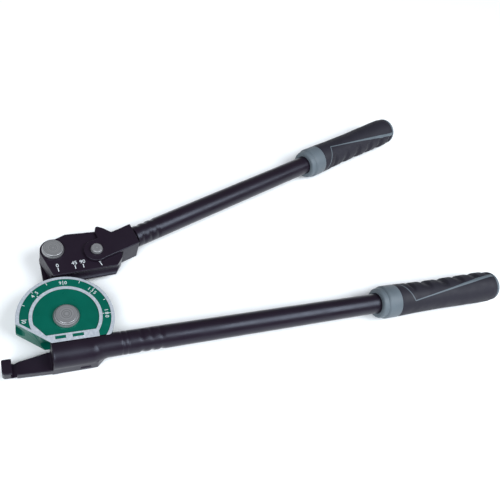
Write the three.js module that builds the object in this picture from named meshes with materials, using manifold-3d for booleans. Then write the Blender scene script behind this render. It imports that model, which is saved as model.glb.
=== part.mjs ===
// Two-stage lever tube bender lying on its back. Millimetres, +Z up, the axis of the former along Z
// through x = 0, y = 0, and the lower handle along +X.
import * as THREE from "three";
import { mergeVertices } from "three/addons/utils/BufferGeometryUtils.js";
import Module from "manifold-3d";

const wasm = await Module();
wasm.setup();

// Heights: both handles and the tube being bent share one middle plane
const AXIS_Z = 16;
const GAP = 0.3;

// Tube being bent, former and scale
const STOCK_R = 6.1;
const BEND_R = 36.8;
const FORMER_Z0 = 7.3;
const FORMER_Z1 = 24.7;
const FACET_DISTANCE = 24.6;
const FACET_ANGLE = 229.5;
const BAND_OUTER_R = 34;
const BAND_INNER_R = 27.3;
const POCKET_R = 24.7;
const POCKET_CHORD_Y = -14.2;
const POCKET_CORNER_DISTANCE = 21.9;
const POCKET_CORNER_ANGLE = 216;
const BAND_DEPTH = 0.5;
const POCKET_DEPTH = 0.8;

// Handle tubes and grips
const TUBE_R = 9.5;
const BORE_R = 7.9;
const SPIGOT_R = 7.5;
const GRIP_LENGTH = 151;
const LOWER_Y = -25.6;
const LOWER_TUBE_START = 29;
const LOWER_GRIP_START = 284;
const UPPER_ANGLE = 21;
const UPPER_OFFSET = 45.4;
const UPPER_TUBE_START = 91.5;
const UPPER_GRIP_START = 313.5;
const SPIGOT_LENGTH = 46;
const CRIMP_DISTANCE = 16;
const PIN_DISTANCE = 34;

// Pivots, in the middle plane
const SHOE_ANGLE = 4.7;
const SHOE_PIN = { t: 3.3, n: 63.2 };
const YOKE_PIN = { t: 37.3, n: 55.3 };
const CENTRE_SHANK_R = 6;
const SHOE_SHANK_R = 5.5;
const YOKE_SHANK_R = 3.6;

// Shoe, link and yoke thicknesses
const SHOE_Z0 = 8.4;
const SHOE_Z1 = 23.6;
const SHOE_EDGE = 38.9;
const LINK_Z0 = 3.4;
const LINK_Z1 = 7;
const YOKE_Z0 = 5.4;
const YOKE_Z1 = 26.6;
const SLOT_Z0 = 8.1;
const SLOT_Z1 = 23.9;
const WEB_R = 22.2;
const YOKE_BOSS_R = 10.4;
const BLOCK_LOW = -12.6;
const BLOCK_HIGH = 8.6;
const FORMER_SCREWS = [-4, 14];
const FORMER_SCREW_Y = -14;
const HUB_R = 11;

// The frame casting round the spigot of the lower handle
const CASTING_Y = -26.4;
const CASTING_Z = 14.6;
const CASTING_R = 10.9;

const rad = THREE.MathUtils.degToRad;

const blackPaint = new THREE.MeshStandardMaterial({ color: 0x1c1820, roughness: 0.35, metalness: 0.4 });
const greenMetal = new THREE.MeshStandardMaterial({ color: 0x00695a, roughness: 0.3, metalness: 0.7 });
const steel = new THREE.MeshStandardMaterial({ color: 0x8f9094, roughness: 0.35, metalness: 1 });
const rubber = new THREE.MeshStandardMaterial({ color: 0x2c2c34, roughness: 0.85, metalness: 0 });
const greyRubber = new THREE.MeshStandardMaterial({ color: 0x74828f, roughness: 0.7, metalness: 0 });

function solid(geometry) {
  const plain = geometry.clone();
  plain.deleteAttribute("normal");
  plain.deleteAttribute("uv");
  const merged = mergeVertices(plain, 1e-4);
  return new wasm.Manifold(
    new wasm.Mesh({
      numProp: 3,
      vertProperties: merged.attributes.position.array,
      triVerts: new Uint32Array(merged.index.array),
    }),
  );
}

function part(name, body, material) {
  const made = body.getMesh();
  const stride = made.numProp;
  const positions = new Float32Array(made.numVert * 3);
  for (let i = 0; i < made.numVert; i++) {
    positions.set(made.vertProperties.subarray(i * stride, i * stride + 3), i * 3);
  }
  const geometry = new THREE.BufferGeometry();
  geometry.setAttribute("position", new THREE.BufferAttribute(positions, 3));
  geometry.setIndex(new THREE.BufferAttribute(new Uint32Array(made.triVerts), 1));
  geometry.computeVertexNormals();
  const mesh = new THREE.Mesh(geometry, material);
  mesh.name = name;
  return mesh;
}

// A turned body about Z from a closed list of [radius, height] pairs
function turned(profile, segments = 48) {
  const points = profile.map(([r, h]) => new THREE.Vector2(r, h));
  points.push(points[0].clone());
  return new THREE.LatheGeometry(points, segments).rotateX(Math.PI / 2);
}

function rod(radius, z0, z1, x = 0, y = 0, segments = 40) {
  const profile = [[0, z0], [radius, z0], [radius, z1], [0, z1]];
  return turned(profile, segments).translate(x, y, 0);
}

function box(x0, x1, y0, y1, z0, z1) {
  const block = new THREE.BoxGeometry(x1 - x0, y1 - y0, z1 - z0);
  return block.translate((x0 + x1) / 2, (y0 + y1) / 2, (z0 + z1) / 2);
}

function slab(shape, z0, z1, curveSegments = 16) {
  const options = { depth: z1 - z0, bevelEnabled: false, curveSegments };
  return new THREE.ExtrudeGeometry(shape, options).translate(0, 0, z0);
}

function polygon(corners) {
  return new THREE.Shape(corners.map(([x, y]) => new THREE.Vector2(x, y)));
}

// Turns a body made about Z so that it lies along +X, and lifts it to a handle's axis
function lying(geometry, y = 0) {
  return geometry.rotateY(Math.PI / 2).translate(0, y, AXIS_Z);
}

// A point t along the shoe's bearing edge and n out from the former's axis
function shoePoint({ t, n }) {
  const a = rad(SHOE_ANGLE);
  return { x: t * Math.cos(a) - n * Math.sin(a), y: t * Math.sin(a) + n * Math.cos(a) };
}

// A half space beyond a chord, as a large block
function beyond(distance, angle, z0, z1) {
  return box(distance, distance + 80, -80, 80, z0, z1).rotateZ(rad(angle));
}

function groovedRim() {
  const steps = 10;
  const rim = [];
  for (let i = 0; i <= steps; i++) {
    const a = -Math.PI / 2 - (i / steps) * Math.PI;
    rim.push([BEND_R + STOCK_R * Math.cos(a), AXIS_Z + STOCK_R * Math.sin(a)]);
  }
  return rim;
}

function formerDisc() {
  const profile = [
    [CENTRE_SHANK_R + GAP, FORMER_Z0],
    [BEND_R - 0.6, FORMER_Z0],
    [BEND_R, FORMER_Z0 + 0.6],
    ...groovedRim(),
    [BEND_R, FORMER_Z1 - 0.6],
    [BEND_R - 0.6, FORMER_Z1],
    [CENTRE_SHANK_R + GAP, FORMER_Z1],
  ];
  const seat = rod(CASTING_R + 2 * GAP, -100, 100, 0, 0, 48).rotateY(Math.PI / 2);
  let disc = solid(turned(profile, 96));
  disc = disc.subtract(solid(beyond(FACET_DISTANCE, FACET_ANGLE, 0, 40)));
  disc = disc.subtract(solid(seat.translate(0, CASTING_Y, CASTING_Z)));
  disc = disc.subtract(solid(box(-60, 60, -60, LOWER_Y + 2, 0, 40)));
  disc = disc.subtract(scaleBand());
  disc = disc.subtract(facePocket());
  for (const x of FORMER_SCREWS) {
    disc = disc.subtract(solid(rod(2.2, FORMER_Z0 - 1, 13, x, FORMER_SCREW_Y, 24)));
  }
  return part("former_disc", disc, greenMetal);
}

function scaleBand() {
  const z0 = FORMER_Z1 - BAND_DEPTH;
  const ring = turned([[BAND_INNER_R, z0], [BAND_OUTER_R, z0], [BAND_OUTER_R, 30], [BAND_INNER_R, 30]], 96);
  const corner = solid(beyond(FACET_DISTANCE - 1.8, FACET_ANGLE, 0, 40));
  const below = solid(box(-60, 22, -60, POCKET_CHORD_Y - 1, 0, 40));
  return solid(ring).subtract(corner).subtract(below);
}

function facePocket() {
  const round = solid(rod(POCKET_R, FORMER_Z1 - POCKET_DEPTH, 30, 0, 0, 72));
  const corner = solid(beyond(POCKET_CORNER_DISTANCE, POCKET_CORNER_ANGLE, 0, 40));
  const below = solid(box(-60, 60, -60, POCKET_CHORD_Y, 0, 40));
  return round.subtract(corner).subtract(below);
}

function formerScrew(name, x) {
  const head = [[0, 4.2], [1.3, 4.2], [1.3, 3.1], [2.6, 3.1], [2.9, 3.4], [2.9, 5]];
  const profile = [...head, [1.9, 5], [1.9, 12.6], [0, 12.6]];
  return part(name, solid(turned(profile, 28).translate(x, FORMER_SCREW_Y, 0)), steel);
}

// The spigot that a handle tube is crimped onto, as the outer part of a profile that ends on the axis
function spigot(start) {
  return [
    [SPIGOT_R, start + CRIMP_DISTANCE - 1],
    [SPIGOT_R - 0.9, start + CRIMP_DISTANCE],
    [SPIGOT_R - 0.9, start + CRIMP_DISTANCE + 8],
    [SPIGOT_R, start + CRIMP_DISTANCE + 9],
    [SPIGOT_R, start + SPIGOT_LENGTH - 1.5],
    [SPIGOT_R - 1.5, start + SPIGOT_LENGTH],
    [0, start + SPIGOT_LENGTH],
  ];
}

function crossHole(radius, along, y) {
  return rod(radius, -12, 12, 0, 0, 20).rotateX(Math.PI / 2).translate(along, y, AXIS_Z);
}

// The hook stands out from the end of the arm and narrows towards its foot
function hook() {
  const head = [[-49.2, -36.4], [-47.6, -38], [-39.6, -38.4], [-39.6, -26.2], [-48.4, -25.8], [-49.2, -26.6]];
  const foot = [[-47.6, -33.2], [-38.8, -33.6], [-38.8, -26.4], [-47.6, -26.6]];
  const top = solid(slab(polygon(head), 12.2, 20));
  const bottom = solid(slab(polygon(foot), 3, 4));
  return wasm.Manifold.hull([top, bottom]);
}

function frameCasting() {
  const socket = [
    [0, -14],
    [TUBE_R, -14],
    [TUBE_R, LOWER_TUBE_START - GAP],
    [SPIGOT_R, LOWER_TUBE_START - GAP],
    ...spigot(LOWER_TUBE_START),
  ];
  const skirt = polygon([[-14, -37], [19.3, -37.2], [26, -31.2], [28.2, -28.4], [28.2, LOWER_Y], [-14, LOWER_Y]]);
  const shelf = polygon([[-13, -34], [14, -34], [24, -29], [20, -10.9], [-8, -10.9], [-13, -15]]);
  const arm = polygon([[-10, -36.8], [-10, -20.6], [-15, -20.6], [-37.5, -24.6], [-41, -26.2], [-39, -35.2]]);
  const shell = [[0, -14], [CASTING_R - 0.6, -14], [CASTING_R, -13.4], [CASTING_R, 17], [TUBE_R - 1.6, 28], [0, 28]];
  const stock = rod(STOCK_R, -60, 0, 0, 0, 40).rotateX(-Math.PI / 2);
  let body = solid(lying(turned(socket, 48), LOWER_Y));
  body = body.add(solid(turned(shell, 48).rotateY(Math.PI / 2).translate(0, CASTING_Y, CASTING_Z)));
  body = body.add(solid(slab(skirt, 3.4, CASTING_Z)));
  body = body.add(solid(slab(shelf, 3, LINK_Z1)));
  body = body.add(solid(slab(arm, 3, 9.7)));
  body = body.add(hook());
  body = body.subtract(solid(stock.translate(-BEND_R - 0.6, -20, AXIS_Z)));
  body = body.subtract(solid(rod(HUB_R + 0.6, 0, FORMER_Z0, 0, 0, 48)));
  body = body.subtract(solid(box(6, 14, -38.5, -36, 7, 9.4)));
  for (const x of FORMER_SCREWS) {
    body = body.subtract(solid(rod(3.2, 2, 5.3, x, FORMER_SCREW_Y, 28)));
    body = body.subtract(solid(rod(2.2, 2, 13, x, FORMER_SCREW_Y, 24)));
  }
  body = body.subtract(solid(crossHole(2.1, LOWER_TUBE_START + PIN_DISTANCE, LOWER_Y)));
  return part("frame_casting", body, blackPaint);
}

// A headed pivot pin with a groove near its end for a retaining ring
function headedPin(shank, headRadius, crown, bottom, seat, top) {
  return [
    [0, bottom],
    [shank - 0.5, bottom],
    [shank, bottom + 0.5],
    [shank, bottom + 1.9],
    [shank - 0.7, bottom + 1.9],
    [shank - 0.7, bottom + 3.1],
    [shank, bottom + 3.1],
    [shank, seat],
    [headRadius, seat],
    [headRadius, seat + 0.45 * (top - seat)],
    [crown, top - 0.2],
    [crown - 0.6, top],
    [0, top],
  ];
}

function retainingRing(name, shank, bottom, at) {
  const z0 = bottom + 2;
  const z1 = bottom + 3;
  const profile = [[shank - 0.5, z0], [shank + 2, z0], [shank + 2, z1], [shank - 0.5, z1]];
  const opening = solid(box(0, shank + 4, -shank * 0.5, shank * 0.5, z0 - 1, z1 + 1));
  const ring = solid(turned(profile, 36)).subtract(opening);
  return part(name, ring.translate([at.x, at.y, 0]), steel);
}

function pivotPin(name, profile, at) {
  return part(name, solid(turned(profile, 44).translate(at.x, at.y, 0)), steel);
}

// A handle tube with two crimped rings, from its start to its end along the axis
function handleTube(start, end) {
  const outer = [[TUBE_R, start]];
  const inner = [[BORE_R, start]];
  for (const distance of [CRIMP_DISTANCE, CRIMP_DISTANCE + 4.5]) {
    const s = start + distance;
    outer.push([TUBE_R, s], [TUBE_R - 0.8, s + 0.9], [TUBE_R - 0.8, s + 2.1], [TUBE_R, s + 3]);
    inner.push([BORE_R, s], [BORE_R - 0.8, s + 0.9], [BORE_R - 0.8, s + 2.1], [BORE_R, s + 3]);
  }
  outer.push([TUBE_R, end - 0.6], [TUBE_R - 0.6, end]);
  inner.push([BORE_R, end]);
  const hole = solid(crossHole(2.1, start + PIN_DISTANCE, 0));
  const wall = solid(lying(turned([...outer, ...inner.reverse()], 44)));
  return wall.subtract(hole);
}

function rollPin(start) {
  const profile = [[0.9, -9], [1.8, -9], [1.8, 9], [0.9, 9]];
  const pin = turned(profile, 20).rotateX(Math.PI / 2);
  return solid(pin.translate(start + PIN_DISTANCE, 0, AXIS_Z));
}

function collar(start) {
  const steps = [[9.8, 0], [13.6, 0], [14.4, 0.8], [14.4, 5], [15.3, 6], [15.9, 7.2], [15.9, 20.7], [9.8, 20.7]];
  return solid(lying(turned(steps.map(([r, u]) => [r, start + u]), 48)));
}

// The rubber sleeve: waisted, with finger hollows on the side that faces the other handle
function grip(start, side) {
  const steps = [
    [9.8, 21],
    [15.5, 21],
    [15.8, 24],
    [15.1, 46],
    [15, 76],
    [15.5, 105],
    [15.9, 127],
    [15.7, 138.5],
    [14.9, 144.6],
    [9.8, 144.6],
  ];
  let sleeve = solid(lying(turned(steps.map(([r, u]) => [r, start + u]), 48)));
  for (const u of [54, 73.5, 93, 112.5, 132]) {
    const hollow = rod(15, 0, 40, start + u, side * (15.2 + 13.3), 32);
    sleeve = sleeve.subtract(solid(hollow));
  }
  return sleeve;
}

function endCap(start) {
  const steps = [
    [0, 122],
    [6.4, 122],
    [7.5, 123.5],
    [7.5, 145],
    [14.7, 145],
    [14.9, 146.4],
    [13.7, 148.8],
    [11, 150.5],
    [0, GRIP_LENGTH],
  ];
  return solid(lying(turned(steps.map(([r, u]) => [r, start + u]), 44)));
}

function lowerHandle() {
  const low = (body) => body.translate([0, LOWER_Y, 0]);
  const end = LOWER_GRIP_START + 143;
  return [
    part("lower_tube", low(handleTube(LOWER_TUBE_START, end)), blackPaint),
    part("lower_roll_pin", low(rollPin(LOWER_TUBE_START)), steel),
    part("lower_collar", low(collar(LOWER_GRIP_START)), greyRubber),
    part("lower_grip", low(grip(LOWER_GRIP_START, 1)), rubber),
    part("lower_end_cap", low(endCap(LOWER_GRIP_START)), greyRubber),
  ];
}

// Moves a body made along +X onto the upper handle's axis
function raised(body) {
  const a = rad(UPPER_ANGLE);
  return body.rotate([0, 0, UPPER_ANGLE]).translate([-Math.sin(a) * UPPER_OFFSET, Math.cos(a) * UPPER_OFFSET, 0]);
}

function upperHandle() {
  const end = UPPER_GRIP_START + 143;
  return [
    part("upper_tube", raised(handleTube(UPPER_TUBE_START, end)), blackPaint),
    part("upper_roll_pin", raised(rollPin(UPPER_TUBE_START)), steel),
    part("upper_collar", raised(collar(UPPER_GRIP_START)), greyRubber),
    part("upper_grip", raised(grip(UPPER_GRIP_START, -1)), rubber),
    part("upper_end_cap", raised(endCap(UPPER_GRIP_START)), greyRubber),
  ];
}

function linkPlate() {
  const pin = shoePoint(SHOE_PIN);
  const length = Math.hypot(pin.x, pin.y);
  const angle = Math.atan2(pin.y, pin.x);
  let plate = solid(rod(HUB_R, LINK_Z0, LINK_Z1, 0, 0, 48));
  plate = plate.add(solid(rod(HUB_R, LINK_Z0, LINK_Z1, pin.x, pin.y, 48)));
  plate = plate.add(solid(box(0, length, -10, 10, LINK_Z0, LINK_Z1).rotateZ(angle)));
  plate = plate.subtract(solid(rod(CENTRE_SHANK_R + GAP, 0, 20, 0, 0, 40)));
  plate = plate.subtract(solid(rod(SHOE_SHANK_R + GAP, 0, 20, pin.x, pin.y, 40)));
  return part("link_plate", plate, blackPaint);
}

// The bending shoe, drawn with its bearing edge along X and the former's axis at the origin
function shoeBlock() {
  const outline = new THREE.Shape();
  outline.moveTo(-1, SHOE_EDGE);
  outline.lineTo(51.5, SHOE_EDGE);
  outline.lineTo(57.8, 46.6);
  outline.absarc(YOKE_PIN.t, YOKE_PIN.n, 21.6, rad(-20), rad(70), false);
  outline.lineTo(41.4, 76.4);
  outline.lineTo(16, 77.8);
  outline.absarc(SHOE_PIN.t + 1, SHOE_PIN.n + 0.4, 11.2, rad(75), rad(188), false);
  let shoe = solid(slab(outline, SHOE_Z0, SHOE_Z1));
  shoe = shoe.add(solid(rod(9, FORMER_Z0, SHOE_Z0 + 1, SHOE_PIN.t, SHOE_PIN.n)));
  shoe = shoe.subtract(solid(lying(rod(STOCK_R, -90, 90), BEND_R)));
  shoe = shoe.subtract(solid(rod(SHOE_SHANK_R + GAP, 0, 40, SHOE_PIN.t, SHOE_PIN.n)));
  shoe = shoe.subtract(solid(rod(YOKE_SHANK_R + GAP, 0, 40, YOKE_PIN.t, YOKE_PIN.n, 32)));
  return part("bending_shoe", shoe.rotate([0, 0, SHOE_ANGLE]), blackPaint);
}

// The yoke pin's place along and across the upper handle's axis
function yokePinOnHandle() {
  const a = rad(UPPER_ANGLE);
  const at = shoePoint(YOKE_PIN);
  const x = at.x + Math.sin(a) * UPPER_OFFSET;
  const y = at.y - Math.cos(a) * UPPER_OFFSET;
  return { u: x * Math.cos(a) + y * Math.sin(a), v: -x * Math.sin(a) + y * Math.cos(a) };
}

function yoke() {
  const { u, v } = yokePinOnHandle();
  const low = v - YOKE_BOSS_R + 0.5;
  const block = polygon([
    [u, low],
    [u + 3, low],
    [71, BLOCK_LOW - 0.2],
    [88, BLOCK_LOW],
    [91.2, BLOCK_HIGH],
    [u, v + YOKE_BOSS_R - 0.1],
  ]);
  const lug = polygon([[58.6, 7], [60, 15.2], [62.6, 18.6], [64.2, 18.6], [67.4, 15.6], [69.6, 12.2], [72, 8]]);
  const tang = [
    [0, 80],
    [SPIGOT_R, 80],
    ...spigot(UPPER_TUBE_START),
  ];
  let body = solid(slab(block, YOKE_Z0, YOKE_Z1));
  body = body.add(solid(rod(YOKE_BOSS_R, YOKE_Z0, YOKE_Z1, u, v, 56)));
  body = body.add(solid(slab(lug, SLOT_Z1, YOKE_Z1)));
  body = body.add(solid(lying(turned(tang, 44))));
  body = body.subtract(solid(rod(WEB_R, SLOT_Z0, SLOT_Z1, u, v, 72)));
  body = body.subtract(solid(box(u - 60, u, v - 40, v + 40, SLOT_Z0, SLOT_Z1)));
  body = body.subtract(solid(rod(YOKE_SHANK_R + GAP, 0, 40, u, v, 32)));
  body = body.subtract(solid(crossHole(2.1, UPPER_TUBE_START + PIN_DISTANCE, 0)));
  return part("handle_yoke", raised(body), blackPaint);
}

function build() {
  const centre = { x: 0, y: 0 };
  const shoePin = shoePoint(SHOE_PIN);
  const yokePin = shoePoint(YOKE_PIN);
  const centreProfile = headedPin(CENTRE_SHANK_R, 10, 8.2, 0, FORMER_Z1 - POCKET_DEPTH + GAP, 28.8);
  const shoeProfile = headedPin(SHOE_SHANK_R, 8.9, 8, 0, SHOE_Z1 + GAP, 28);
  const yokeProfile = headedPin(YOKE_SHANK_R, 5.1, 4.5, 1.9, YOKE_Z1 + GAP, 30);
  const group = new THREE.Group();
  group.add(
    frameCasting(),
    formerDisc(),
    ...FORMER_SCREWS.map((x, i) => formerScrew("former_screw_" + (i + 1), x)),
    pivotPin("centre_pin", centreProfile, centre),
    retainingRing("centre_pin_ring", CENTRE_SHANK_R, 0, centre),
    ...lowerHandle(),
    linkPlate(),
    shoeBlock(),
    pivotPin("shoe_pin", shoeProfile, shoePin),
    retainingRing("shoe_pin_ring", SHOE_SHANK_R, 0, shoePin),
    yoke(),
    pivotPin("yoke_pin", yokeProfile, yokePin),
    retainingRing("yoke_pin_ring", YOKE_SHANK_R, 1.9, yokePin),
    ...upperHandle(),
  );
  return group;
}

const group = build();
export default group;
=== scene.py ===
"""Looks of a two-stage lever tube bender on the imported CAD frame.

Lengths are in millimetres, apart from those of the materials, the floor, the lights and the camera's
clipping, which are in metres.
The tool lies flat: Z is the axis of the former, and the lower handle points along +X.
"""
import math

import bmesh
import bpy
from mathutils import Matrix, Vector


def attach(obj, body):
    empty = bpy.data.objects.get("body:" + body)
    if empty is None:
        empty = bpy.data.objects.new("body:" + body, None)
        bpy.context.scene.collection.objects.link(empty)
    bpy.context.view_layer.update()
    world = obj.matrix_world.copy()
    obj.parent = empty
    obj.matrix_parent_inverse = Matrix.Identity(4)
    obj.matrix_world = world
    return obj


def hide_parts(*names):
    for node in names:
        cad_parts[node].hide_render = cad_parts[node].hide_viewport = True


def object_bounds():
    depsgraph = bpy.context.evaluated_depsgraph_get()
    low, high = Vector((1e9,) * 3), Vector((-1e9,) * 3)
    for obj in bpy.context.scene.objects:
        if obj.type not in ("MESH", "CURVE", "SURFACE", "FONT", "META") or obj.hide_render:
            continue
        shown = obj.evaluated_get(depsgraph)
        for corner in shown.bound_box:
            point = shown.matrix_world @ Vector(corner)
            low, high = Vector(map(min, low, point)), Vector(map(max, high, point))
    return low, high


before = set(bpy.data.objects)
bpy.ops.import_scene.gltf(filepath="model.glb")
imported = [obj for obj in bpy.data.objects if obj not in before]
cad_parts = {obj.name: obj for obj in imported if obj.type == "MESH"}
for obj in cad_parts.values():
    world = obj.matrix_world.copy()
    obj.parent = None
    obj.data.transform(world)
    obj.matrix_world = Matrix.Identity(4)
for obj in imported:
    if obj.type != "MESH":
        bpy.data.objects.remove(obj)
CAD_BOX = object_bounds()

MM = 0.001

# The tube that is bent, and the former that it is bent round.
AXIS_Z = 16.0  # the level of the bent tube and of both handles
BEND_R = 36.8  # from the former's axis to the middle of the bent tube
GROOVE_R = 6.1
FORMER_FOOT = 7.3
FACE_Z = 24.7
FACET_ANGLE = 229.5  # the direction of the former's flat side
FACET_DISTANCE = 24.6
BAND_INNER, BAND_OUTER, BAND_FLOOR = 27.3, 34.0, 24.2  # the sunk band of the degree scale
POCKET_R, POCKET_FLOOR = 24.7, 23.9
POCKET_CHORD_Y = -14.2
POCKET_CORNER_DISTANCE, POCKET_CORNER_ANGLE = 21.9, 216
SCALE_ZERO = 177.0  # the direction of the scale's zero
CENTRE_BORE_R = 6.3
FACE_CUT_TOP, THROUGH_TOP = 30, 40  # heights clear of the former's face and of the whole tool

# The handles: tubes pushed over spigots, with a grip on the far end.
TUBE_R, TUBE_BORE_R = 9.5, 7.9
SPIGOT_R = 7.5
GRIP_BORE_R = 9.8
CASTING_R, CASTING_Y, CASTING_Z = 10.9, -26.4, 14.6  # the barrel round the lower spigot
LOWER_Y = -25.6
LOWER_TUBE_START, LOWER_TUBE_END, LOWER_GRIP_START = 26, 427, 284
UPPER_TUBE_START, UPPER_TUBE_END, UPPER_GRIP_START = 91.5, 456.5, 313.5
UPPER_ANGLE = math.radians(21)
UPPER_OFFSET = 45.4  # from the former's axis to the line of the upper handle

# The shoe, with its two pins in the shoe's own axes, and the yoke that holds it in a slot.
SHOE_ANGLE = math.radians(4.7)
SHOE_PIN_IN_SHOE, YOKE_PIN_IN_SHOE = (3.3, 63.2), (37.3, 55.3)
SHOE_PIN_BORE_R, YOKE_PIN_BORE_R = 5.8, 3.9
SHOE_FOOT, SHOE_TOP = 8.4, 23.6
YOKE_FOOT, YOKE_TOP = 5.4, 26.6
SLOT_FOOT, SLOT_TOP = 8.1, 23.9

TO_LOWER = Matrix.Translation((0, LOWER_Y, AXIS_Z))
TO_UPPER = (
    Matrix.Translation((-math.sin(UPPER_ANGLE) * UPPER_OFFSET, math.cos(UPPER_ANGLE) * UPPER_OFFSET, AXIS_Z))
    @ Matrix.Rotation(UPPER_ANGLE, 4, "Z")
)
TO_CASTING = Matrix.Translation((0, CASTING_Y, CASTING_Z))
TO_SHOE = Matrix.Rotation(SHOE_ANGLE, 4, "Z")
ALONG_X = Matrix.Rotation(math.radians(90), 4, "Y")


def shoe_point(t, n):
    """Where the point (t, n) of the shoe's own axes lies in the tool's."""
    c, s = math.cos(SHOE_ANGLE), math.sin(SHOE_ANGLE)
    return (t * c - n * s, t * s + n * c)


SHOE_PIN = shoe_point(*SHOE_PIN_IN_SHOE)
YOKE_PIN = shoe_point(*YOKE_PIN_IN_SHOE)


# ---------------------------------------------------------------- camera
CAMERA_PLACE = Vector((-48.4, -221.5, 435.0))
CAMERA_RIGHT = Vector((0.9078, -0.3042, 0.2887))
CAMERA_BACK = Vector((-0.4096, -0.4956, 0.7659))
CAMERA_LENS = 41.36


def make_camera():
    data = bpy.data.cameras.new("camera")
    camera = bpy.data.objects.new("camera", data)
    bpy.context.scene.collection.objects.link(camera)
    back = CAMERA_BACK.normalized()
    up = back.cross(CAMERA_RIGHT).normalized()
    right = up.cross(back).normalized()
    turn = Matrix((right, up, back)).transposed().to_4x4()
    camera.matrix_world = Matrix.Translation(CAMERA_PLACE * MM) @ turn
    data.sensor_width = 36
    data.lens = CAMERA_LENS
    data.clip_start = 0.01
    bpy.context.scene.camera = camera


# ---------------------------------------------------------------- mesh helpers
def mesh_of(bm):
    """A mesh from bm, which is freed."""
    mesh = bpy.data.meshes.new("mesh")
    bm.to_mesh(mesh)
    bm.free()
    return mesh


def add_mesh(bm, mesh):
    """Adds mesh to bm and removes it."""
    bm.from_mesh(mesh)
    bpy.data.meshes.remove(mesh)


def moved(bm, matrix):
    bmesh.ops.transform(bm, matrix=matrix, verts=bm.verts)
    return bm


def scaled(bm, matrix=Matrix.Identity(4)):
    """A mesh in metres from a bmesh in millimetres, moved by matrix first."""
    moved(bm, Matrix.Scale(MM, 4) @ matrix)
    bmesh.ops.recalc_face_normals(bm, faces=bm.faces)
    return mesh_of(bm)


def to_metres(mesh, matrix=Matrix.Identity(4)):
    """Turns a mesh in millimetres into metres, moved by matrix first."""
    mesh.transform(Matrix.Scale(MM, 4) @ matrix)
    mesh.update()


def finish_object(name, mesh, material, body, node=None, smooth_angle=0):
    """Makes the visible piece, in place of a CAD node if one is named. Edges over smooth_angle stay sharp."""
    obj = bpy.data.objects.new(name, mesh)
    bpy.context.scene.collection.objects.link(obj)
    if material:
        mesh.materials.append(material)
    if smooth_angle:
        mesh.polygons.foreach_set("use_smooth", [True] * len(mesh.polygons))
        if smooth_angle < 180:
            mesh.set_sharp_from_angle(angle=math.radians(smooth_angle))
    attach(obj, body)
    if node:
        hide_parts(node)


def rings_bm(rings, closed=False):
    """A skin over rings of points: with flat ends, or closed from the last ring to the first."""
    bm = bmesh.new()
    made = [[bm.verts.new(p) for p in ring] for ring in rings]
    count = len(made[0])
    pairs = list(zip(made, made[1:]))
    if closed:
        pairs.append((made[-1], made[0]))
    for a, b in pairs:
        for i in range(count):
            j = (i + 1) % count
            bm.faces.new((a[i], a[j], b[j], b[i]))
    if not closed:
        bm.faces.new(list(reversed(made[0])))
        bm.faces.new(made[-1])
    return bm


def lathe_bm(profile, segments=128, closed=False):
    """A turned body about Z, from points (radius, height). An open profile gets flat ends."""
    turns = [2 * math.pi * i / segments for i in range(segments)]
    return rings_bm([[(r * math.cos(t), r * math.sin(t), z) for t in turns] for r, z in profile], closed)


def cylinder_bm(radius, z0, z1, segments, at=(0, 0)):
    return moved(lathe_bm([(radius, z0), (radius, z1)], segments), Matrix.Translation((*at, 0)))


def prism_bm(outline, z0, z1):
    """An upright body with the given outline, from z0 to z1."""
    bm = bmesh.new()
    low = [bm.verts.new((x, y, z0)) for x, y in outline]
    high = [bm.verts.new((x, y, z1)) for x, y in outline]
    bm.faces.new(list(reversed(low)))
    bm.faces.new(high)
    n = len(outline)
    for i in range(n):
        j = (i + 1) % n
        bm.faces.new((low[i], low[j], high[j], high[i]))
    return bm


def box_bm(x0, x1, y0, y1, z0, z1):
    return prism_bm([(x0, y0), (x1, y0), (x1, y1), (x0, y1)], z0, z1)


def hull_bm(points):
    """The smallest body without hollows that holds all the points."""
    bm = bmesh.new()
    for p in points:
        bm.verts.new(p)
    made = bmesh.ops.convex_hull(bm, input=bm.verts)
    spare = {v for v in made["geom_interior"] + made["geom_unused"] if isinstance(v, bmesh.types.BMVert)}
    bmesh.ops.delete(bm, geom=list(spare), context="VERTS")
    return bm


def arc(cx, cy, r, a0, a1, steps):
    """Points round (cx, cy) from a0 to a1 degrees."""
    turns = [math.radians(a0 + (a1 - a0) * k / steps) for k in range(steps + 1)]
    return [(cx + r * math.cos(t), cy + r * math.sin(t)) for t in turns]


def rounded(profile, radius, steps=4, closed=False):
    """The same profile with each corner rounded, leaving the first and last points of an open one."""
    out = []
    count = len(profile)
    for i, p in enumerate(profile):
        if not closed and i in (0, count - 1):
            out.append(p)
            continue
        corner = Vector(p)
        to_last = Vector(profile[i - 1]) - corner
        to_next = Vector(profile[(i + 1) % count]) - corner
        cut = min(radius, to_last.length * 0.45, to_next.length * 0.45)
        start = corner + to_last.normalized() * cut
        end = corner + to_next.normalized() * cut
        for k in range(steps + 1):
            t = k / steps
            q = start * (1 - t) ** 2 + corner * 2 * t * (1 - t) + end * t**2
            out.append((q.x, q.y))
    return out


def temp_object(bm):
    bmesh.ops.recalc_face_normals(bm, faces=bm.faces)
    obj = bpy.data.objects.new("temp", mesh_of(bm))
    bpy.context.scene.collection.objects.link(obj)
    return obj


def evaluated(obj):
    """The object's mesh with its modifiers applied."""
    depsgraph = bpy.context.evaluated_depsgraph_get()
    depsgraph.update()
    return bpy.data.meshes.new_from_object(obj.evaluated_get(depsgraph))


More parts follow.
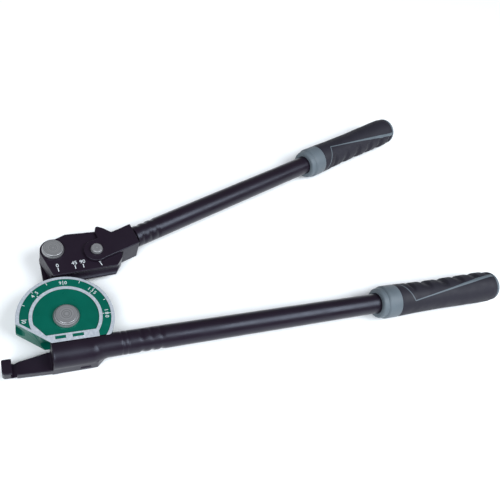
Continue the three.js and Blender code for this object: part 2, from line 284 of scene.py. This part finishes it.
def carved(base, adds=(), cuts=(), voxel=None, smooth=0, bevel=None):
    """One mesh, in millimetres, from a base bmesh with others joined on and cut away, then softened."""
    obj = temp_object(base)
    tools = [(temp_object(bm), "UNION") for bm in adds] + [(temp_object(bm), "DIFFERENCE") for bm in cuts]
    for tool, operation in tools:
        boolean = obj.modifiers.new("boolean", "BOOLEAN")
        boolean.operation = operation
        boolean.solver = "EXACT"
        boolean.object = tool
    if voxel:
        remesh = obj.modifiers.new("remesh", "REMESH")
        remesh.mode = "VOXEL"
        remesh.voxel_size = voxel
    if smooth:
        smoothing = obj.modifiers.new("smooth", "SMOOTH")
        smoothing.factor = 0.5
        smoothing.iterations = smooth
    if bevel:
        edge = obj.modifiers.new("bevel", "BEVEL")
        edge.width = bevel
        edge.segments = 3
        edge.limit_method = "ANGLE"
        edge.angle_limit = math.radians(40)
    mesh = evaluated(obj)
    for used in (obj, *[tool for tool, _ in tools]):
        bpy.data.meshes.remove(used.data)
    return mesh


# ---------------------------------------------------------------- materials
class Nodes:
    """A short way to write a material's node tree."""

    def __init__(self, name):
        self.material = bpy.data.materials.new(name)
        self.material.use_nodes = True
        self.tree = self.material.node_tree
        self.shader = next(n for n in self.tree.nodes if n.type == "BSDF_PRINCIPLED")
        self.place = self.tree.nodes.new("ShaderNodeTexCoord").outputs["Object"]

    def link(self, a, b):
        self.tree.links.new(a, b)

    def set(self, **values):
        for key, value in values.items():
            self.shader.inputs[key.replace("_", " ")].default_value = value

    def drive(self, **outputs):
        """Links outputs to the shader's inputs of the same names."""
        for key, output in outputs.items():
            self.link(output, self.shader.inputs[key.replace("_", " ")])

    def noise(self, scale, detail, roughness=0.55):
        node = self.tree.nodes.new("ShaderNodeTexNoise")
        node.inputs["Scale"].default_value = scale
        node.inputs["Detail"].default_value = detail
        node.inputs["Roughness"].default_value = roughness
        self.link(self.place, node.inputs["Vector"])
        return node.outputs["Fac"]

    def ramp(self, value, low, low_colour, high, high_colour):
        node = self.tree.nodes.new("ShaderNodeValToRGB")
        stops = ((low, low_colour), (high, high_colour))
        for element, (position, colour) in zip(node.color_ramp.elements, stops):
            element.position = position
            element.color = (*colour, 1)
        self.link(value, node.inputs["Fac"])
        return node.outputs["Color"]

    def product(self, a, b):
        node = self.tree.nodes.new("ShaderNodeMath")
        node.operation = "MULTIPLY"
        self.link(a, node.inputs[0])
        self.link(b, node.inputs[1])
        return node.outputs["Value"]

    def vector_math(self, operation, vector, constant=None):
        node = self.tree.nodes.new("ShaderNodeVectorMath")
        node.operation = operation
        self.link(vector, node.inputs[0])
        if constant:
            node.inputs[1].default_value = constant
        return node.outputs

    def map_range(self, value, low, high, to_low, to_high):
        node = self.tree.nodes.new("ShaderNodeMapRange")
        for key, v in (("From Min", low), ("From Max", high), ("To Min", to_low), ("To Max", to_high)):
            node.inputs[key].default_value = v
        self.link(value, node.inputs["Value"])
        return node.outputs["Result"]

    def mix(self, factor, a, colour):
        node = self.tree.nodes.new("ShaderNodeMix")
        node.data_type = "RGBA"
        self.link(factor, node.inputs["Factor"])
        self.link(a, node.inputs[6])
        node.inputs[7].default_value = (*colour, 1)
        return node.outputs[2]

    def bump(self, height, distance, strength, normal=None):
        node = self.tree.nodes.new("ShaderNodeBump")
        node.inputs["Strength"].default_value = strength
        node.inputs["Distance"].default_value = distance
        self.link(height, node.inputs["Height"])
        if normal:
            self.link(normal, node.inputs["Normal"])
        return node.outputs["Normal"]

    def edges(self, low, high):
        """0 on flat ground and 1 on sharp outer edges."""
        node = self.tree.nodes.new("ShaderNodeNewGeometry")
        return self.map_range(node.outputs["Pointiness"], low, high, 0, 1)


def times(factor, colour):
    return tuple(factor * c for c in colour)


def black_paint(name, rough=0.36, peel=0.00003):
    """Glossy paint with a slight orange peel of depth peel, worn to grey on its edges."""
    n = Nodes(name)
    tint = (0.0080, 0.0040, 0.0090)
    colour = n.ramp(n.noise(18, 5), 0.3, tint, 0.7, times(1.35, tint))
    scuffs = n.map_range(n.noise(220, 6, 0.7), 0.45, 0.62, 0, 0.5)
    worn = n.product(n.edges(0.53, 0.62), scuffs)
    fine = n.bump(n.noise(900, 3), peel, 0.8)
    n.drive(
        Base_Color=n.mix(worn, colour, (0.05, 0.06, 0.075)),
        Roughness=n.map_range(n.noise(60, 5), 0.3, 0.7, rough - 0.05, rough + 0.08),
        Normal=n.bump(n.noise(240, 2), peel * 2, 0.5, fine),
    )
    n.set(Specular_IOR_Level=0.36, Specular_Tint=(0.78, 0.86, 1.0, 1))
    return n.material


def rubber_material(name, colour, rough=0.62, grain=0.00006):
    n = Nodes(name)
    n.drive(
        Base_Color=n.ramp(n.noise(45, 6), 0.3, colour, 0.75, times(1.3, colour)),
        Roughness=n.map_range(n.noise(90, 4), 0.3, 0.7, rough - 0.08, rough + 0.1),
        Normal=n.bump(n.noise(1500, 4, 0.7), grain, 0.9),
    )
    n.set(Specular_IOR_Level=0.35)
    return n.material


def anodised(name):
    n = Nodes(name)
    n.drive(
        Base_Color=n.ramp(n.noise(30, 5), 0.3, (0.0, 0.098, 0.066), 0.7, (0.0, 0.125, 0.086)),
        Roughness=n.map_range(n.noise(120, 4), 0.3, 0.7, 0.27, 0.36),
        Normal=n.bump(n.noise(2600, 2), 0.00001, 0.5),
    )
    n.set(Metallic=0.3, Specular_IOR_Level=0.25)
    return n.material


def turned_steel(name, centre, pitch, rough=0.3, depth=0.00003):
    """Bare steel with the fine rings that a lathe tool leaves. Their centre and pitch are in millimetres."""
    n = Nodes(name)
    colour = (0.30, 0.30, 0.31)
    offset = n.vector_math("SUBTRACT", n.place, (centre[0] * MM, centre[1] * MM, 0))["Vector"]
    flat = n.vector_math("MULTIPLY", offset, (1, 1, 0))["Vector"]
    rings = n.tree.nodes.new("ShaderNodeTexNoise")
    rings.noise_dimensions = "1D"
    rings.inputs["Scale"].default_value = 1.0 / (pitch * MM)
    rings.inputs["Detail"].default_value = 3
    n.link(n.vector_math("LENGTH", flat)["Value"], rings.inputs["W"])
    streak = rings.outputs["Fac"]
    n.drive(
        Base_Color=n.ramp(streak, 0.36, times(0.6, colour), 0.64, times(1.25, colour)),
        Roughness=n.map_range(streak, 0.3, 0.7, rough - 0.06, rough + 0.1),
        Normal=n.bump(streak, depth, 0.9),
    )
    n.set(Metallic=0.55)
    return n.material


def machined_face(name):
    n = Nodes(name)
    streak = n.noise(700, 3)
    n.drive(
        Base_Color=n.ramp(streak, 0.3, (0.38, 0.41, 0.46), 0.7, (0.50, 0.53, 0.58)),
        Roughness=n.map_range(streak, 0.3, 0.7, 0.36, 0.5),
        Normal=n.bump(n.noise(1800, 2), 0.00001, 0.6),
    )
    n.set(Metallic=0.3)
    return n.material


def ink(name):
    n = Nodes(name)
    n.drive(
        Base_Color=n.ramp(n.noise(800, 4), 0.3, (0.50, 0.54, 0.56), 0.7, (0.66, 0.69, 0.71)),
        Roughness=n.map_range(n.noise(500, 3), 0.3, 0.7, 0.4, 0.55),
    )
    return n.material


PAINT = black_paint("black_enamel")
TUBE_PAINT = black_paint("black_tube_enamel", rough=0.34, peel=0.00001)
RUBBER = rubber_material("black_moulded_rubber", (0.010, 0.009, 0.016))
GREY = rubber_material("grey_moulded_rubber", (0.088, 0.108, 0.125), 0.5, 0.00003)
GREEN = anodised("green_anodised")
SILVER = machined_face("machined_face")
INK = ink("white_ink")
CENTRE_STEEL = turned_steel("centre_pin_steel", (0, 0), 0.65)
SHOE_STEEL = turned_steel("shoe_pin_steel", SHOE_PIN, 0.5)
YOKE_STEEL = turned_steel("yoke_pin_steel", YOKE_PIN, 0.45)
PLAIN_STEEL = turned_steel("plain_steel", (0, 0), 0.3, 0.35, 0.00001)


def paint_cad_nodes():
    """Gives the CAD's own solids a material, which shows on those that no Blender piece replaces."""
    for name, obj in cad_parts.items():
        for slot in obj.material_slots:
            slot.link = "OBJECT"
            slot.material = PLAIN_STEEL if "pin" in name or "screw" in name else PAINT


# ---------------------------------------------------------------- former
def facet_cut(distance):
    """What lies beyond the former's flat side, from the given distance off the axis."""
    block = box_bm(distance, distance + 80, -80, 80, 0, THROUGH_TOP)
    return moved(block, Matrix.Rotation(math.radians(FACET_ANGLE), 4, "Z"))


def scale_band():
    """The ring that is cut away for the scale. It stops short of the flat side and of the casting."""
    section = [
        (BAND_INNER, BAND_FLOOR),
        (BAND_OUTER, BAND_FLOOR),
        (BAND_OUTER, FACE_CUT_TOP),
        (BAND_INNER, FACE_CUT_TOP),
    ]
    cuts = [facet_cut(FACET_DISTANCE - 1.8), box_bm(-60, 22, -60, -15, 0, THROUGH_TOP)]
    bm = bmesh.new()
    add_mesh(bm, carved(lathe_bm(section, 192, closed=True), cuts=cuts))
    return bm


def pocket_outline(count=720):
    """A circle cut by a low level chord and by a chord across its lower left."""
    a = math.radians(POCKET_CORNER_ANGLE)
    corner = Vector((math.cos(a), math.sin(a)))
    out = []
    for k in range(count):
        t = 2 * math.pi * k / count
        direction = Vector((math.cos(t), math.sin(t)))
        reach = POCKET_R
        if direction.y < 0:
            reach = min(reach, POCKET_CHORD_Y / direction.y)
        along = direction.dot(corner)
        if along > 0:
            reach = min(reach, POCKET_CORNER_DISTANCE / along)
        out.append(tuple(direction * reach))
    return out


def former():
    """The grooved disc: green, with bare metal on its face round the sunk band, pocket and windows."""
    chamfer = 0.7
    groove = [(BEND_R + x, AXIS_Z + y) for x, y in arc(0, 0, GROOVE_R, -90, -270, 20)]
    profile = [
        (CENTRE_BORE_R, FORMER_FOOT),
        (BEND_R - chamfer, FORMER_FOOT),
        (BEND_R, FORMER_FOOT + chamfer),
        *groove,
        (BEND_R, FACE_Z - chamfer),
        (BEND_R - chamfer, FACE_Z),
        (CENTRE_BORE_R, FACE_Z),
    ]
    cuts = [
        facet_cut(FACET_DISTANCE),
        moved(cylinder_bm(CASTING_R + 0.65, -90, 90, 96), TO_CASTING @ ALONG_X),
        box_bm(-60, 60, -60, LOWER_Y + 2, 0, THROUGH_TOP),
        scale_band(),
        prism_bm(pocket_outline(), POCKET_FLOOR, FACE_CUT_TOP),
    ]
    for x0, x1 in ((-10.5, -2.6), (2.2, 10.6)):
        cuts.append(box_bm(x0, x1, -18.2, -15.6, FACE_Z - 0.25, FACE_CUT_TOP))
    mesh = carved(lathe_bm(profile, 224, closed=True), cuts=cuts, bevel=0.16)
    mesh.materials.append(GREEN)
    mesh.materials.append(SILVER)
    for polygon in mesh.polygons:
        x, y, z = polygon.center
        on_face = z > FACE_Z - 0.2
        on_rim = z > FACE_Z - 0.85 and math.hypot(x, y) > BEND_R - 1
        polygon.material_index = int(polygon.normal.z > 0.35 and (on_face or on_rim))
    to_metres(mesh)
    finish_object("former_body", mesh, None, "frame", "former_disc", 30)


# ---------------------------------------------------------------- ink marks
INK_HALF = 0.03  # half the thickness of the ink


def add_glyph(bm, text, size, matrix):
    """Adds text, centred, lying in the XY plane and then moved by matrix."""
    curve = bpy.data.curves.new("glyph", "FONT")
    curve.body = text
    curve.size = size
    curve.align_x = "CENTER"
    curve.align_y = "CENTER"
    curve.extrude = INK_HALF
    curve.offset = 0.004 * size
    obj = bpy.data.objects.new("glyph", curve)
    bpy.context.scene.collection.objects.link(obj)
    mesh = evaluated(obj)
    bpy.data.curves.remove(curve)
    mesh.transform(matrix)
    add_mesh(bm, mesh)


def add_bar(bm, x0, x1, y0, y1, z, matrix):
    add_mesh(bm, mesh_of(moved(box_bm(x0, x1, y0, y1, z - INK_HALF, z + INK_HALF), matrix)))


def scale_marks():
    """Figures every 45 degrees round the band, with the end marks of each, and a short mark half-way."""
    bm = bmesh.new()
    z = BAND_FLOOR + 0.05
    inner, outer = BAND_INNER + 0.1, BAND_OUTER - 0.1
    middle = (inner + outer) / 2
    half_width, end_mark, short_mark, figure_size = 0.22, 1.3, 2.0, 4.1
    for step in range(9):
        value = step * 22.5
        turn = math.radians(SCALE_ZERO - value) - math.pi / 2
        upright = Matrix.Rotation(turn, 4, "Z")
        if step % 2:
            add_bar(bm, -0.2, 0.2, outer - short_mark, outer, z, upright)
            continue
        add_bar(bm, -half_width, half_width, inner, inner + end_mark, z, upright)
        add_bar(bm, -half_width, half_width, outer - end_mark, outer, z, upright)
        if value in (0, 90):
            add_bar(bm, -half_width, half_width, inner, outer, z, upright)
        digits = str(int(value))
        spread = 4.2 if len(digits) == 2 else 2.9
        for k, digit in enumerate(digits):
            offset = (k - (len(digits) - 1) / 2) * spread if len(digits) > 1 else -1.9
            leaning = Matrix.Rotation(turn - offset / middle, 4, "Z")
            add_glyph(bm, digit, figure_size, leaning @ Matrix.Translation((0, middle, z)))
    finish_object("scale_marks", scaled(bm), INK, "frame")


def shoe_marks():
    """Three figures over their marks, and a forked mark, along the shoe's lower edge."""
    bm = bmesh.new()
    z = SHOE_TOP + INK_HALF
    half_width, mark_start, mark_end, figure_y, figure_size = 0.32, 42.0, 45.6, 47.8, 4.6
    for t, text in ((3.6, "0"), (17.2, "45"), (23.8, "90")):
        add_bar(bm, t - half_width, t + half_width, mark_start, mark_end, z, TO_SHOE)
        add_glyph(bm, text, figure_size, TO_SHOE @ Matrix.Translation((t, figure_y, z)))
    fork = (37.8, 44.4)
    for (x0, y0), (x1, y1) in (((38.6, 41.4), fork), (fork, (36.2, 46.6)), (fork, (38.8, 46.6))):
        length = math.hypot(x1 - x0, y1 - y0)
        turn = Matrix.Translation((x0, y0, 0)) @ Matrix.Rotation(math.atan2(y1 - y0, x1 - x0), 4, "Z")
        add_bar(bm, -0.2, length + 0.2, -0.35, 0.35, z, TO_SHOE @ turn)
    finish_object("shoe_marks", scaled(bm), INK, "shoe")


# ---------------------------------------------------------------- pins
def pin(node, body, material, centre, shank, head, crown, foot, seat, top):
    """A turned pin with a groove for its retaining ring. Its head starts at seat and ends in radius crown."""
    outer = [
        (0.05, foot),
        (shank - 0.5, foot),
        (shank, foot + 0.5),
        (shank, foot + 1.9),
        (shank - 0.7, foot + 1.9),
        (shank - 0.7, foot + 3.1),
        (shank, foot + 3.1),
        (shank, seat),
        (head, seat),
        (head, seat + 0.42 * (top - seat)),
        (crown, top - 0.12),
        (crown - 0.7, top),
        (0.05, top),
    ]
    bm = moved(lathe_bm(rounded(outer, 0.32)), Matrix.Translation((*centre, 0)))
    finish_object(node + "_turned", scaled(bm), material, body, node, 40)


def pins():
    for node, body, material, centre, shank, head, crown, foot, seat, top in (
        ("centre_pin", "frame", CENTRE_STEEL, (0, 0), 6, 9.9, 8.0, 0, 24.2, 28.8),
        ("shoe_pin", "shoe", SHOE_STEEL, SHOE_PIN, 5.5, 8.8, 8.0, 0, 23.9, 28),
        ("yoke_pin", "handle", YOKE_STEEL, YOKE_PIN, 3.6, 5.0, 4.4, 1.9, 26.9, 30),
    ):
        pin(node, body, material, centre, shank, head, crown, foot, seat, top)


# ---------------------------------------------------------------- handle tubes
def around_x(u, r, degrees):
    """The point at u along X and r from it, turned from +Y towards +Z."""
    a = math.radians(degrees)
    return (u, r * math.cos(a), r * math.sin(a))


def tube(side, body, place, start, end, rolled, dents, dent_angle):
    """rolled are the places of thin rolled rings, and dents those of the crimps, three round at each."""
    rolled_depth, rolled_width = 0.3, 0.75
    dent_depth, dent_width, dent_spread = 0.8, 1.7, 30
    end_chamfer = 0.35
    fine_step, fine_length, coarse_step = 0.5, 55, 5  # fine where the crimps are
    stations = [start, start + 0.25]
    stations += [start + fine_step * k for k in range(1, int(fine_length / fine_step))]
    coarse_count = int((end - start - fine_length - 1) / coarse_step)
    stations += [start + fine_length + coarse_step * k for k in range(coarse_count)]
    stations += [end - fine_step, end]
    turns = [360 * k / 96 for k in range(96)]
    rings = []
    for u in stations:
        ring = []
        for turn in turns:
            r = TUBE_R - (end_chamfer if u in (start, end) else 0)
            for ring_u in rolled:
                r -= rolled_depth * math.exp(-(((u - ring_u) / rolled_width) ** 2))
            for dent_u in dents:
                for middle in (dent_angle, dent_angle + 120, dent_angle + 240):
                    apart = (turn - middle + 180) % 360 - 180
                    reach = -(((u - dent_u) / dent_width) ** 2) - (apart / dent_spread) ** 2
                    r -= dent_depth * math.exp(reach)
            ring.append(around_x(u, r, turn))
        rings.append(ring)
    for u in (end, start):
        rings.append([around_x(u, TUBE_BORE_R, turn) for turn in turns])
    mesh = scaled(rings_bm(rings, closed=True), place)
    finish_object(side + "_handle_tube", mesh, TUBE_PAINT, body, side + "_tube", 40)


def tubes():
    tube("lower", "frame", TO_LOWER, LOWER_TUBE_START, LOWER_TUBE_END, (38.6, 42.8), (54, 62, 70), 200)
    tube("upper", "handle", TO_UPPER, UPPER_TUBE_START, UPPER_TUBE_END, (), (98, 105.5, 113), 150)


# ---------------------------------------------------------------- grips
# u runs along the handle from the start of the grip. turn is in degrees from the middle of its finger side.
SLEEVE = [
    (21, 15.6),
    (24, 15.75),
    (48, 15.2),
    (76, 15.05),
    (105, 15.5),
    (129, 15.85),
    (138.5, 15.75),
    (144.6, 14.9),
]
LINE = [(23.5, 0), (36, 108), (131, 58), (144, 52)]
FINGERS_START, FINGER_PITCH, FINGERS, FINGER_DEPTH = 39.0, 21.0, 5, 2.3


def smoothstep(a, b, x):
    t = max(0.0, min(1.0, (x - a) / (b - a)))
    return t * t * (3 - 2 * t)


def sleeve_radius(u):
    """The sleeve's radius at u, before the finger bumps."""
    for (u0, r0), (u1, r1) in zip(SLEEVE, SLEEVE[1:]):
        if u <= u1:
            return r0 + (r1 - r0) * smoothstep(u0, u1, u)
    return SLEEVE[-1][1]


def line_angle(u):
    """How far round the inlaid line runs at u."""
    for (u0, a0), (u1, a1) in zip(LINE, LINE[1:]):
        if u <= u1:
            return a0 + (a1 - a0) * max(0.0, (u - u0)) / (u1 - u0)
    return LINE[-1][1]


def grip_radius(u, turn):
    """The sleeve's radius with the hollows between the fingers' bumps, which lie inside the inlaid line."""
    base = sleeve_radius(u)
    inside = smoothstep(0, 16, line_angle(u) - abs(turn)) if u > LINE[0][0] else 0
    fingers_end = FINGERS_START + FINGERS * FINGER_PITCH
    lead = FINGERS_START - 4
    depth = 0.0
    if lead < u < fingers_end:
        phase = ((u - FINGERS_START) / FINGER_PITCH) % 1.0
        rise = smoothstep(0.0, 0.16, phase)
        fall = 1 - smoothstep(0.55, 1.0, phase)
        depth = FINGER_DEPTH * (1 - min(rise, fall if phase > 0.16 else 1))
        last_rise = FINGERS_START + (FINGERS - 0.15) * FINGER_PITCH
        depth *= smoothstep(lead, FINGERS_START, u) * (1 - smoothstep(last_rise, fingers_end, u))
    finger_side = 1 - smoothstep(38, 78, abs(turn))
    return base - inside * depth * finger_side


def sleeve_point(start, mirror, roll, u, turn, sunk=0.0):
    """The point of the sleeve at u and turn. mirror is -1 on the grip whose fingers are at -Y."""
    x, y, z = around_x(start + u, grip_radius(u, turn) - sunk, turn + roll)
    return (x, mirror * y, z)


def bore_ring(ring):
    """The same ring drawn in to the bore of the grip."""
    out = []
    for x, y, z in ring:
        r = math.hypot(y, z)
        out.append((x, y * GRIP_BORE_R / r, z * GRIP_BORE_R / r))
    return out


def sleeve(side, body, place, start, mirror, roll):
    step, segments = 0.75, 160
    first, last = SLEEVE[0][0], SLEEVE[-1][0]
    stations = [first + k * step for k in range(int((last - first) / step) + 1)] + [last]
    turns = [360 * i / segments - 180 for i in range(segments)]
    rings = [[sleeve_point(start, mirror, roll, u, turn) for turn in turns] for u in stations]
    bm = rings_bm([*rings, bore_ring(rings[-1]), bore_ring(rings[0])], closed=True)
    finish_object(side + "_grip_sleeve", scaled(bm, place), RUBBER, body, side + "_grip", 50)


def inlay(side, body, place, start, mirror, roll):
    """The raised line moulded into the sleeve: one loop over the finger side, from end ring to end ring."""
    front, corner, tail, step, front_steps = LINE[0][0], LINE[1][0], 144.2, 1.2, 27
    half_width, height, segments = 1.45, 0.62, 8
    places = [tail - k * step for k in range(int((tail - corner) / step) + 1)] + [corner]
    places += [corner - (corner - front) * k / front_steps for k in range(1, front_steps + 1)]
    path = [(u, line_angle(u)) for u in places]
    path += [(u, -a) for u, a in reversed(path[:-1])]
    points = [Vector(sleeve_point(start, mirror, roll, u, turn, sunk=0.5)) for u, turn in path]
    rings = []
    for i, ((u, _), p) in enumerate(zip(path, points)):
        along = (points[min(len(points) - 1, i + 1)] - points[max(0, i - 1)]).normalized()
        out = Vector((0, p.y, p.z)).normalized()
        across = along.cross(out).normalized()
        width = half_width * (0.75 + 0.75 * smoothstep(40, 140, u))
        turns = [2 * math.pi * k / segments for k in range(segments)]
        rings.append([p + across * width * math.cos(t) + out * height * math.sin(t) for t in turns])
    finish_object(side + "_grip_inlay", scaled(rings_bm(rings), place), GREY, body, None, 60)


def collar(side, body, place, start):
    steps = [
        (GRIP_BORE_R, 0.2),
        (13.0, 0.2),
        (14.3, 1.2),
        (14.6, 4.9),
        (14.3, 5.6),
        (15.2, 6.3),
        (15.9, 7.4),
        (15.9, 20.7),
        (GRIP_BORE_R, 20.7),
    ]
    bm = lathe_bm(rounded([(r, start + u) for r, u in steps], 0.55, closed=True), closed=True)
    mesh = scaled(bm, place @ ALONG_X)
    finish_object(side + "_grip_collar", mesh, GREY, body, side + "_collar", 50)


def end_cap(side, body, place, start):
    """A disc over the sleeve's end, with a plug inside the handle tube."""
    steps = [
        (0.05, 122),
        (6.4, 122),
        (7.5, 123.5),
        (7.5, 145),
        (14.75, 145),
        (14.9, 146.6),
        (13.6, 149),
        (11, 150.4),
        (7.5, 150.9),
        (7.2, 150.2),
        (0.05, 150.2),
    ]
    mesh = scaled(lathe_bm(rounded([(r, start + u) for r, u in steps], 0.9)), place @ ALONG_X)
    finish_object(side + "_grip_cap", mesh, GREY, body, side + "_end_cap", 50)


def grips():
    for side, body, place, start, mirror, roll in (
        ("lower", "frame", TO_LOWER, LOWER_GRIP_START, 1, 20),
        ("upper", "handle", TO_UPPER, UPPER_GRIP_START, -1, -20),
    ):
        sleeve(side, body, place, start, mirror, roll)
        inlay(side, body, place, start, mirror, roll)
        collar(side, body, place, start)
        end_cap(side, body, place, start)


# ---------------------------------------------------------------- castings
def spigot(start):
    """The end of a turned profile that fills a handle tube from start, with a neck for the crimps."""
    neck = 6.6
    return [
        (SPIGOT_R, start + 15),
        (neck, start + 16),
        (neck, start + 24),
        (SPIGOT_R, start + 25),
        (SPIGOT_R, start + 44.5),
        (SPIGOT_R - 1.5, start + 46),
        (0.05, start + 46),
    ]


def hook_bm():
    """The hook that holds the tail of the bent tube: a head on a leaning foot."""
    head = [(-49.2, -36.4), (-47.6, -38), (-39.6, -38.4), (-39.6, -26.2), (-48.4, -25.8), (-49.2, -26.6)]
    foot = [(-47.6, -33.2), (-38.8, -33.6), (-38.8, -26.4), (-47.6, -26.6)]
    return hull_bm([(*p, z) for p in head for z in (12.2, 20)] + [(*p, z) for p in foot for z in (3, 4)])


def casting():
    back = -14
    seat = [(0.05, back), (TUBE_R, back), (TUBE_R, 28.7), (SPIGOT_R, 28.7), *spigot(29)]
    socket = moved(lathe_bm(rounded(seat, 0.8, 3), 120), TO_LOWER @ ALONG_X)
    barrel = [(0.05, back), (CASTING_R, back), (CASTING_R, 17), (7.9, 28), (0.05, 28)]
    shell = moved(lathe_bm(rounded(barrel, 1.6, 5), 120), TO_CASTING @ ALONG_X)
    skirt_outline = [(back, -37), (19.3, -37.2), (26, -31.2), (28.2, -28.4), (28.2, LOWER_Y), (back, LOWER_Y)]
    shelf_outline = [(-13, -34), (14, -34), (24, -29), (20, -10.9), (-8, -10.9), (-13, -15)]
    arm_outline = [(-10, -36.8), (-10, -20.6), (-15, -20.6), (-37.5, -24.6), (-41, -26.2), (-39, -35.2)]
    adds = [
        shell,
        prism_bm(skirt_outline, 3.4, CASTING_Z),
        prism_bm(shelf_outline, 3, 7),
        prism_bm(arm_outline, 3, 9.7),
        hook_bm(),
    ]
    along_y = Matrix.Rotation(math.radians(90), 4, "X")
    beside_hook = Matrix.Translation((-BEND_R - 0.6, -80, AXIS_Z)) @ along_y
    cuts = [
        moved(cylinder_bm(GROOVE_R, -60, 60, 64), beside_hook),
        cylinder_bm(11.6, 0, FORMER_FOOT, 96),
        box_bm(6, 14, -38.5, -36, 7, 9.4),
    ]
    for x in (-4, 14):
        cuts.append(cylinder_bm(3.2, 2, 5.3, 48, (x, -14)))
        cuts.append(cylinder_bm(2.2, 2, 13, 48, (x, -14)))
    mesh = carved(socket, adds, cuts, voxel=0.42, smooth=5)
    to_metres(mesh)
    finish_object("frame_casting_body", mesh, PAINT, "frame", "frame_casting", 180)


def shoe():
    outline = [(-1, 38.9), (51.5, 38.9), (57.8, 46.6)]
    outline += arc(*YOKE_PIN_IN_SHOE, 21.6, -20, 70, 28)
    outline += [(41.4, 76.4), (16, 77.8)]
    outline += arc(4.3, 63.6, 11.2, 75, 188, 28)
    boss = cylinder_bm(9, FORMER_FOOT, SHOE_FOOT + 1, 96, SHOE_PIN_IN_SHOE)
    groove_place = Matrix.Translation((0, BEND_R, AXIS_Z)) @ ALONG_X
    cuts = [
        moved(cylinder_bm(GROOVE_R, -90, 90, 96), groove_place),
        cylinder_bm(SHOE_PIN_BORE_R, 0, THROUGH_TOP, 64, SHOE_PIN_IN_SHOE),
        cylinder_bm(YOKE_PIN_BORE_R, 0, THROUGH_TOP, 64, YOKE_PIN_IN_SHOE),
    ]
    mesh = carved(prism_bm(outline, SHOE_FOOT, SHOE_TOP), [boss], cuts, voxel=0.36, smooth=3)
    to_metres(mesh, TO_SHOE)
    finish_object("bending_shoe_body", mesh, PAINT, "shoe", "bending_shoe", 180)


def yoke():
    """The fork over the shoe, in the upper handle's axes, whose heights start from the middle of the tube."""
    at = TO_UPPER.inverted() @ Vector((*YOKE_PIN, AXIS_Z))
    u, v = at.x, at.y
    foot, top = YOKE_FOOT - AXIS_Z, YOKE_TOP - AXIS_Z
    slot_foot, slot_top = SLOT_FOOT - AXIS_Z, SLOT_TOP - AXIS_Z
    block_outline = [(u, v - 9.9), (u + 3, v - 9.9), (71, -12.8), (88, -12.6), (91.2, 8.6), (u, v + 10.3)]
    lug_outline = [(58.6, 7), (60, 15.2), (62.6, 18.6), (64.2, 18.6), (67.4, 15.6), (69.6, 12.2), (72, 8)]
    tang = rounded([(0.05, 80), (SPIGOT_R, 80), *spigot(UPPER_TUBE_START)], 0.4, 3)
    adds = [
        cylinder_bm(10.4, foot, top, 128, (u, v)),
        prism_bm(lug_outline, slot_top, top),
        moved(lathe_bm(tang, 96), ALONG_X),
    ]
    cuts = [
        cylinder_bm(22.2, slot_foot, slot_top, 160, (u, v)),
        box_bm(u - 60, u, v - 40, v + 40, slot_foot, slot_top),
        cylinder_bm(YOKE_PIN_BORE_R, -20, 20, 64, (u, v)),
    ]
    mesh = carved(prism_bm(block_outline, foot, top), adds, cuts, voxel=0.4, smooth=3)
    to_metres(mesh, TO_UPPER)
    finish_object("handle_yoke_body", mesh, PAINT, "handle", "handle_yoke", 180)


def link():
    length = math.hypot(*SHOE_PIN)
    end_r, half_turn = 11, 65.4
    outline = arc(length, 0, end_r, -half_turn, half_turn, 32)
    outline += arc(0, 0, end_r, 180 - half_turn, 180 + half_turn, 32)
    cuts = [
        cylinder_bm(CENTRE_BORE_R, 0, 20, 64),
        cylinder_bm(SHOE_PIN_BORE_R, 0, 20, 64, (length, 0)),
    ]
    mesh = carved(prism_bm(outline, 3.4, 7), cuts=cuts, bevel=0.5)
    to_metres(mesh, Matrix.Rotation(math.atan2(SHOE_PIN[1], SHOE_PIN[0]), 4, "Z"))
    finish_object("link_plate_body", mesh, PAINT, "link", "link_plate", 40)


# ---------------------------------------------------------------- floor and light
def area_light(name, place, power):
    target = Vector((0.15, 0.05, 0))
    data = bpy.data.lights.new(name, "AREA")
    data.shape = "RECTANGLE"
    data.size = data.size_y = 1.4
    data.energy = power
    data.color = (0.88, 0.94, 1.0)
    light = bpy.data.objects.new(name, data)
    bpy.context.scene.collection.objects.link(light)
    light.location = place
    light.rotation_euler = (target - Vector(place)).to_track_quat("-Z", "Y").to_euler()


def stage():
    size = 12.0
    mesh = bpy.data.meshes.new("floor")
    corners = [(-size, -size, 0), (size, -size, 0), (size, size, 0), (-size, size, 0)]
    mesh.from_pydata(corners, [], [(0, 1, 2, 3)])
    floor = bpy.data.objects.new("floor", mesh)
    bpy.context.scene.collection.objects.link(floor)
    n = Nodes("pale_floor")
    n.set(Base_Color=(0.92, 0.92, 0.92, 1), Roughness=0.9, Specular_IOR_Level=0.1)
    mesh.materials.append(n.material)
    floor.location.z = min(CAD_BOX[0][2], 0) - 0.0002

    world = bpy.data.worlds.new("studio")
    world.use_nodes = True
    background = world.node_tree.nodes["Background"]
    background.inputs["Color"].default_value = (1, 1, 1, 1)
    background.inputs["Strength"].default_value = 0.2
    bpy.context.scene.world = world
    bpy.context.scene.view_settings.view_transform = "Standard"

    area_light("key", (-1.0, -1.3, 2.0), 66)
    area_light("fill", (1.4, -0.8, 1.9), 54)


make_camera()
paint_cad_nodes()
former()
scale_marks()
shoe_marks()
pins()
tubes()
grips()
casting()
shoe()
yoke()
link()
stage()
